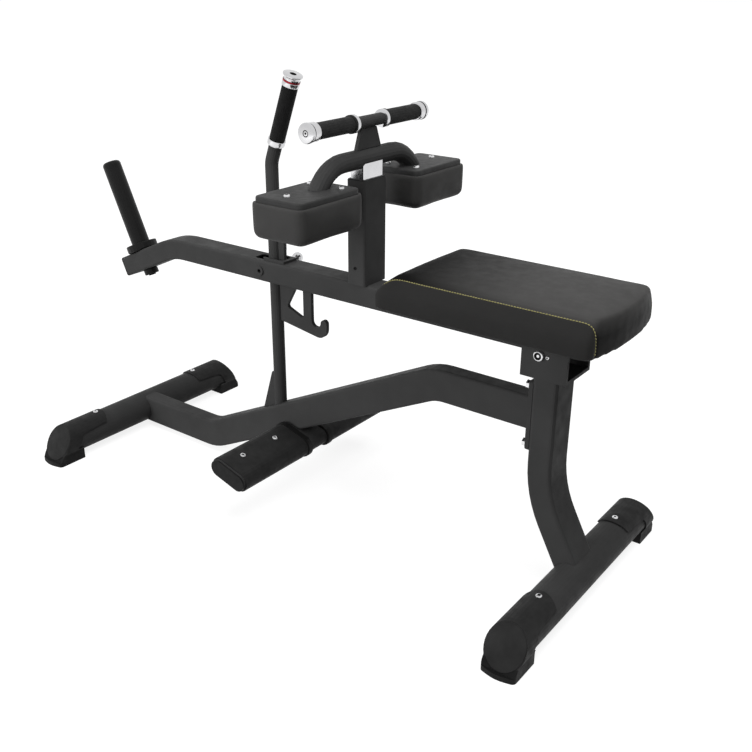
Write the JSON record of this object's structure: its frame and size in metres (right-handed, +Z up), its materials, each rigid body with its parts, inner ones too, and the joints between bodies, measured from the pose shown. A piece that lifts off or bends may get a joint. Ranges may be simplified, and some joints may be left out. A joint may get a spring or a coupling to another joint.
{
  "type": "seated calf raise machine",
  "caption": "Plate-loaded seated calf raise machine: bent-tube frame, hinged lever with padded seat, weight horn, height-adjustable knee pads with handlebar, footrest and side-entry lock pin.",
  "frame": {"origin": "on the floor, in the plane of symmetry, midway between the two foot tubes", "axes": "+X from the weight horn towards the seat, +Z up, +Y towards the user's right"},
  "size_m": [1.5599, 0.711, 1.067],
  "materials": {
    "frame_paint": "matte charcoal powder coat",
    "satin_black": "satin black powder coat",
    "black_rubber": "matte moulded rubber",
    "black_plastic": "matte moulded plastic",
    "grip_foam": "matte foam rubber grip",
    "chrome": "polished chrome plate",
    "bright_steel": "bright zinc-plated steel",
    "vinyl": "fine-grained black upholstery vinyl",
    "board": "black-stained plywood"
  },
  "bodies": {
    "frame": {"main_beam": "frame_paint", "front_foot_tube": "frame_paint", "rear_foot_tube": "frame_paint", "boot_front_left": "black_rubber", "boot_front_right": "black_rubber", "boot_rear_left": "black_rubber", "boot_rear_right": "black_rubber", "flange_bolt_lower_left": "bright_steel", "flange_bolt_lower_right": "bright_steel", "flange_bolt_upper_left": "bright_steel", "flange_bolt_upper_right": "bright_steel", "seat_post": "frame_paint", "pivot_channel": "frame_paint", "pivot_axle": "bright_steel", "pivot_nut": "bright_steel", "upright_post": "frame_paint", "hook_plate": "frame_paint", "post_gusset": "frame_paint", "upright_ring": "chrome", "upright_grip": "grip_foam", "upright_cap": "chrome", "footrest_tube": "frame_paint", "footrest_wrap_left": "black_rubber", "footrest_wrap_right": "black_rubber", "footrest_plug_left": "black_plastic", "footrest_plug_right": "black_plastic"},
    "lever": {"lever_arm": "frame_paint", "arm_front_plug": "black_plastic", "weight_horn": "satin_black", "horn_collar": "satin_black", "horn_nut": "satin_black", "pivot_hub": "frame_paint", "slot_guide": "frame_paint", "stop_pin": "bright_steel", "lock_bush": "frame_paint", "lock_housing": "bright_steel", "knee_post": "frame_paint", "knee_post_liner": "black_plastic", "height_pin_housing": "bright_steel", "seat_mount": "frame_paint", "seat_board": "board", "seat_cushion": "vinyl"},
    "lock": {"lock_pin": "chrome"},
    "height_lock": {"height_pin": "chrome"},
    "yoke": {"yoke_tube": "chrome", "yoke_arch": "frame_paint", "pad_plate_left": "black_plastic", "pad_plate_right": "black_plastic", "knee_pad_left": "vinyl", "knee_pad_right": "vinyl", "bar_bracket": "frame_paint", "handlebar": "frame_paint", "bar_ring_left": "chrome", "bar_ring_right": "chrome", "bar_grip_left": "grip_foam", "bar_grip_right": "grip_foam", "bar_cap_left": "chrome", "bar_cap_right": "chrome"}
  },
  "joints": [
    {"name": "lever_pivot", "type": "hinge", "parent": "frame", "child": "lever", "pos_m": [0.6065, 0, 0.565], "axis": [0, 1, 0], "range_deg": [0, 10]},
    {"name": "lock_pin_slide", "type": "slide", "parent": "lever", "child": "lock", "axis": [0, 1, 0], "range_m": [0, 0.014], "stiffness_N_per_m": 400, "springref_m": -0.02},
    {"name": "yoke_slide", "type": "slide", "parent": "lever", "child": "yoke", "axis": [0, 0, 1], "range_m": [0, 0.1]},
    {"name": "height_pin_slide", "type": "slide", "parent": "lever", "child": "height_lock", "axis": [-1, 0, 0], "range_m": [0, 0.012], "stiffness_N_per_m": 400, "springref_m": -0.02}
  ]
}
